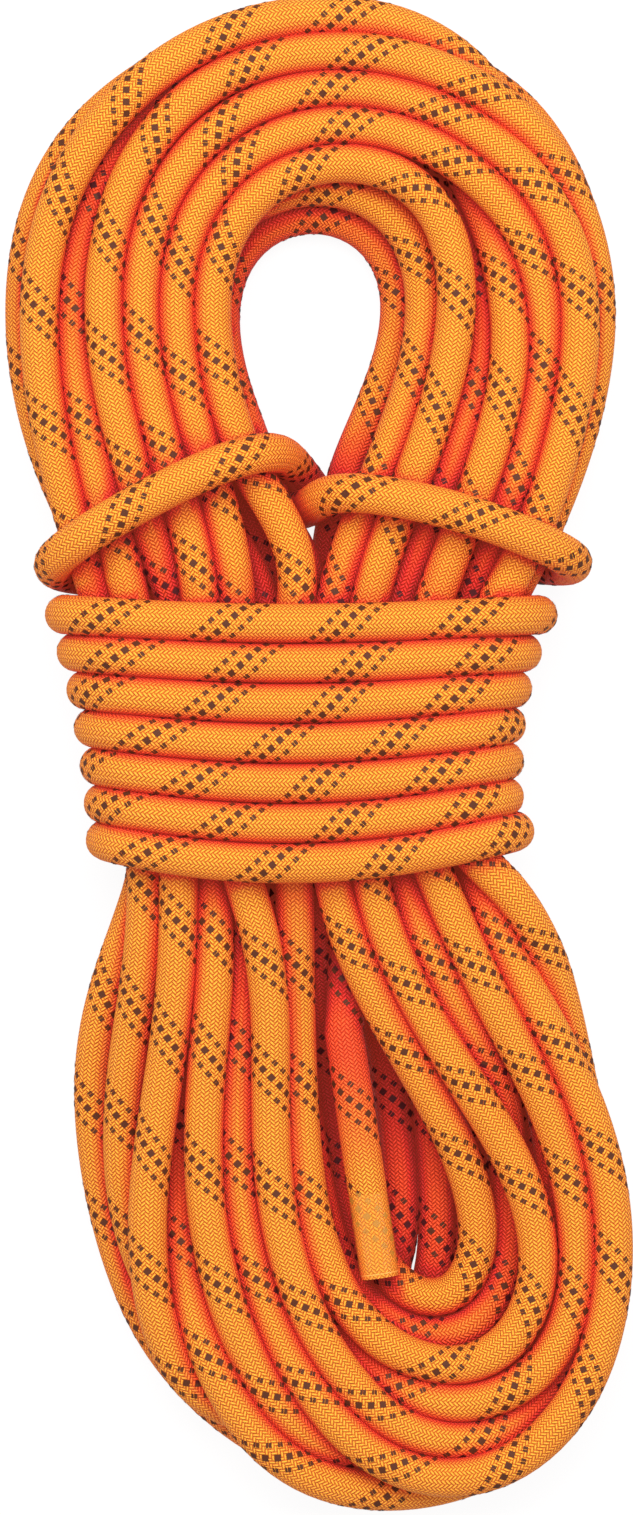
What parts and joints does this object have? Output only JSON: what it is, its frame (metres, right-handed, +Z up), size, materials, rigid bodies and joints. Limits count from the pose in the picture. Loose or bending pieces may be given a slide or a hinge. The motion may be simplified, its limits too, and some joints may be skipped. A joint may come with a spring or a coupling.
{
  "type": "dynamic climbing rope",
  "caption": "Braided climbing rope folded into a hank with an open eye, wrapped round the waist and locked with a crossed hitch; one sealed end lies free in the lower bight.",
  "frame": {"origin": "on the surface the hank lies on, under the middle of its box", "axes": "+Z up through the hank's thickness, +Y along its length towards the bight with the open eye, +X across it"},
  "size_m": [0.161, 0.3895, 0.0484],
  "materials": {
    "rope_sheath": "tightly woven nylon sheath with a brown tracer band",
    "core_strands": "twisted white nylon strands",
    "marker_tape": "thin plain tape",
    "end_seal": "clear glossy dipped seal over the sheath",
    "fused_plug": "melted sheath and core, smooth"
  },
  "bodies": {
    "hank": {"upper_left_leg_turns": "rope_sheath", "upper_bight_turns": "rope_sheath", "upper_right_leg_turns": "rope_sheath", "waist_turns": "rope_sheath", "wrap_turn_1": "rope_sheath", "wrap_turn_2": "rope_sheath", "wrap_turn_3": "rope_sheath", "wrap_turn_4": "rope_sheath", "wrap_turn_5": "rope_sheath", "wrap_turn_6": "rope_sheath", "wrap_turn_7": "rope_sheath", "hitch_left_strand": "rope_sheath", "hitch_right_strand": "rope_sheath", "lower_left_leg_turns": "rope_sheath", "lower_bight_turns": "rope_sheath", "lower_right_leg_turns": "rope_sheath", "lower_inner_turns": "rope_sheath", "tail_root": "rope_sheath", "tucked_end_sheath": "rope_sheath", "tucked_end_core_strands": "core_strands", "tucked_end_marker_tape": "marker_tape", "tucked_end_seal": "end_seal", "tucked_end_fused_plug": "fused_plug"},
    "free_end": {"tail_sheath": "rope_sheath", "tail_core_strands": "core_strands", "tail_marker_tape": "marker_tape", "tail_end_seal": "end_seal", "tail_fused_plug": "fused_plug"}
  },
  "joints": [
    {"name": "tail_lift", "type": "hinge", "parent": "hank", "child": "free_end", "pos_m": [0.006, -0.067, 0.023], "axis": [-0.9893, -0.1461, 0], "range_deg": [0, 75]}
  ]
}
